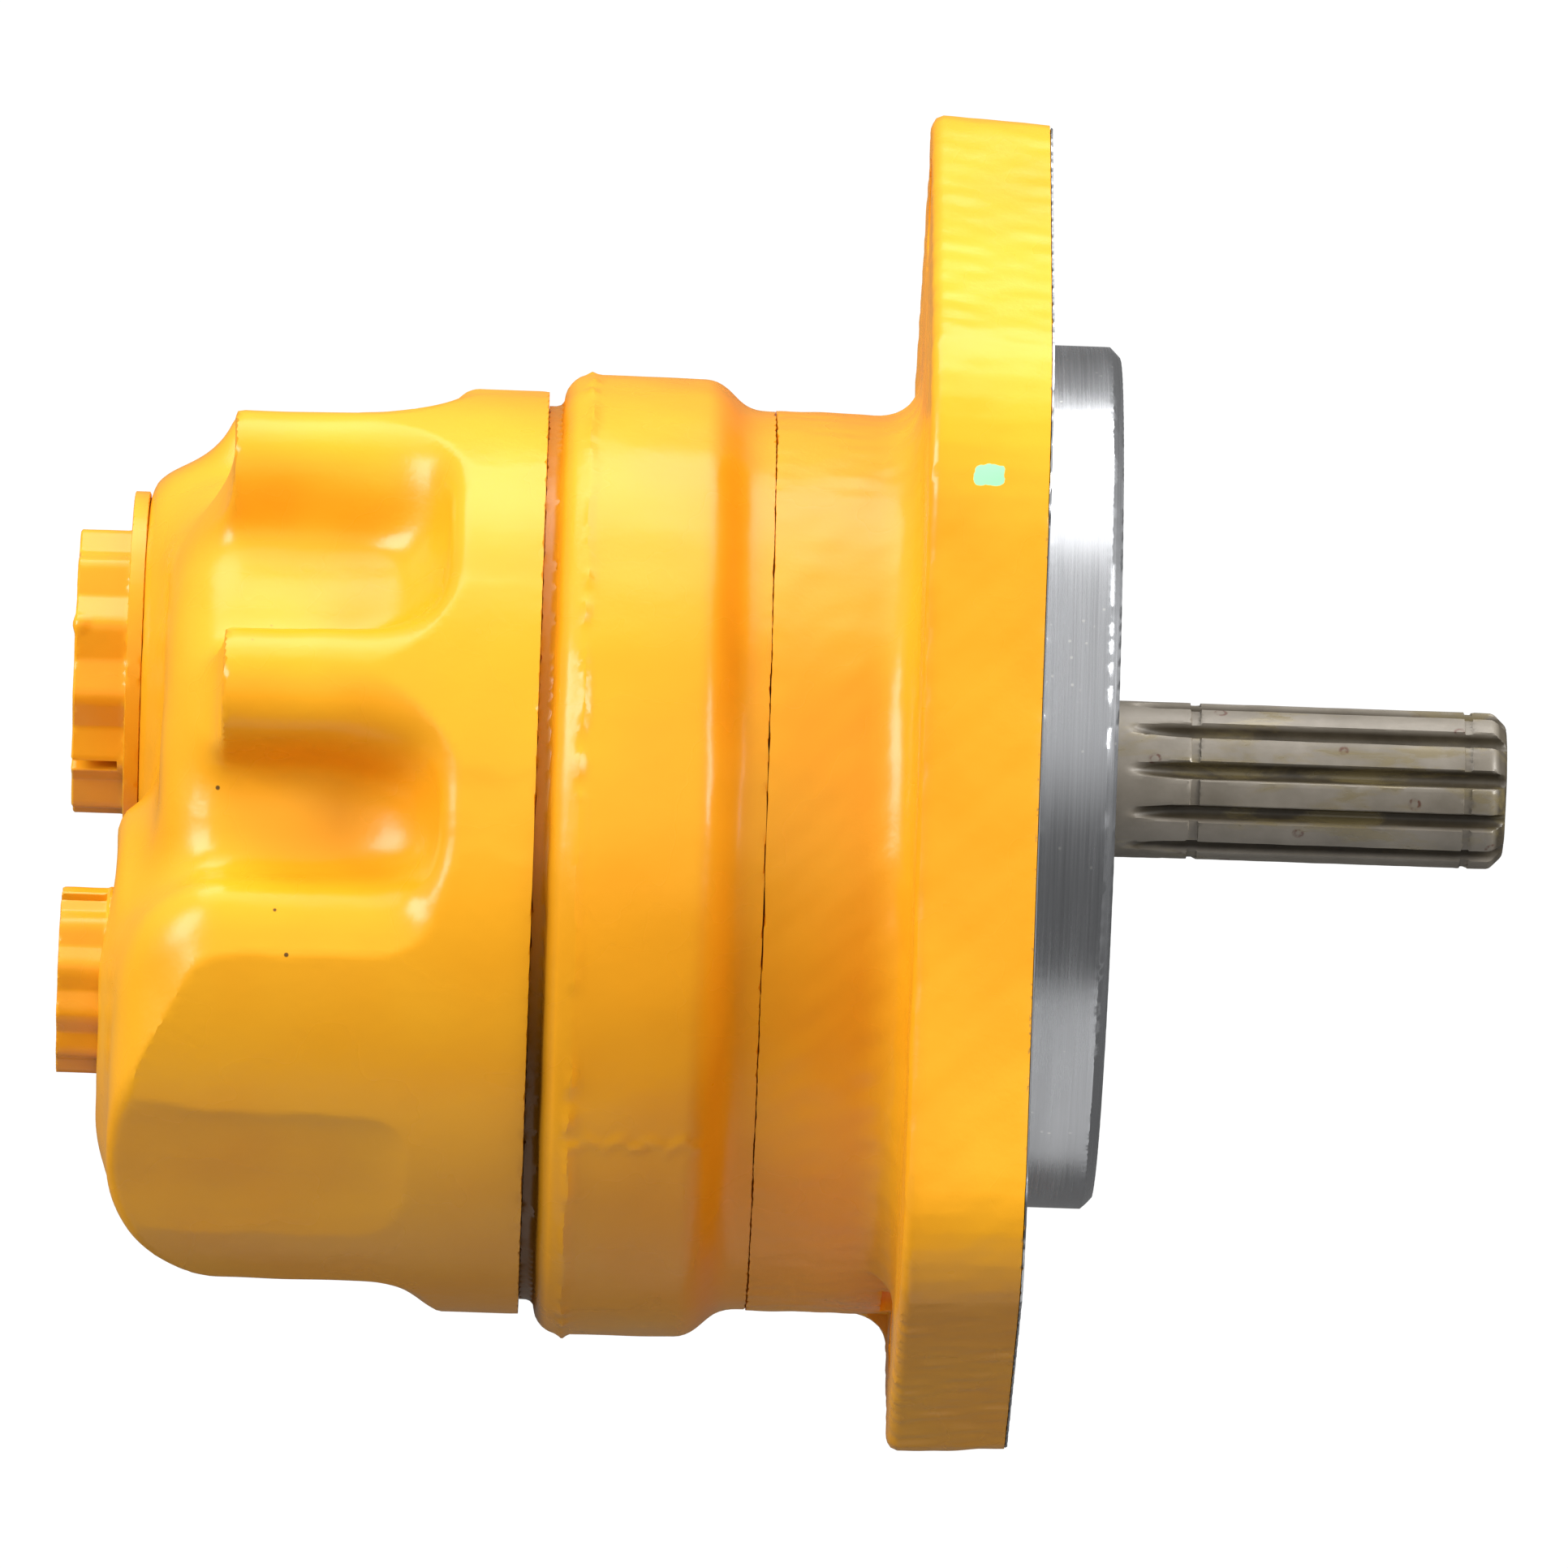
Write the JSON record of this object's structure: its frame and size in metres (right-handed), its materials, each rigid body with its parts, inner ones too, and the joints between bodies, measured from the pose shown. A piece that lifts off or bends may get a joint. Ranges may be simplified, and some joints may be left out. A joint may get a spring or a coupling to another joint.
{
  "type": "hydraulic gear motor",
  "caption": "Flange-mounted hydraulic gear motor with a round pilot, splined drive shaft, ring-shaped gear housing and sculpted rear cover with plugged rear ports.",
  "frame": {"origin": "centre of the pilot on the mounting face", "axes": "+X along the shaft towards its free end, +Z along the line through the two mounting holes, +Y to the side of the second gear"},
  "size_m": [0.1375, 0.1043, 0.128],
  "materials": {
    "yellow_paint": "gloss enamel over a casting",
    "plug_paint": "painted plug, satin",
    "machined_steel": "fine turned",
    "phosphated_steel": "dark phosphate, oiled",
    "gear_steel": "ground",
    "spring_steel": "oiled black",
    "screw_steel": "black oxide",
    "bush_bronze": "reamed",
    "seal_rubber": "matte"
  },
  "bodies": {
    "housing": {"front_housing": "yellow_paint", "gear_housing": "yellow_paint", "rear_cover": "yellow_paint", "large_port_plug": "plug_paint", "small_port_plug": "plug_paint", "dowel_pins": "gear_steel", "seal_garter_spring": "gear_steel", "shaft_seal_case": "gear_steel", "seal_retaining_ring": "spring_steel", "cap_screws": "screw_steel", "front_drive_bush": "bush_bronze", "front_idler_bush": "bush_bronze", "rear_drive_bush": "bush_bronze", "rear_idler_bush": "bush_bronze", "front_thrust_plate": "bush_bronze", "rear_thrust_plate": "bush_bronze", "pressure_seal": "seal_rubber", "front_section_seal": "seal_rubber", "rear_section_seal": "seal_rubber", "shaft_seal_lip": "seal_rubber", "large_port_oring": "seal_rubber", "small_port_oring": "seal_rubber"},
    "drive_shaft_group": {"drive_shaft": "phosphated_steel", "drive_gear": "gear_steel", "drive_gear_key": "gear_steel", "gear_snap_rings": "spring_steel"},
    "idler_group": {"idler_shaft": "machined_steel", "idler_gear": "gear_steel"}
  },
  "joints": [
    {"name": "shaft_spin", "type": "hinge", "parent": "housing", "child": "drive_shaft_group", "pos_m": [0, 0, 0], "axis": [1, 0, 0], "continuous": true},
    {"name": "idler_spin", "type": "hinge", "parent": "housing", "child": "idler_group", "pos_m": [0, 0.02006, -0.01807], "axis": [1, 0, 0], "continuous": true}
  ],
  "couplings": [
    {"joint": "idler_spin", "follows": "shaft_spin", "ratio": -1}
  ]
}
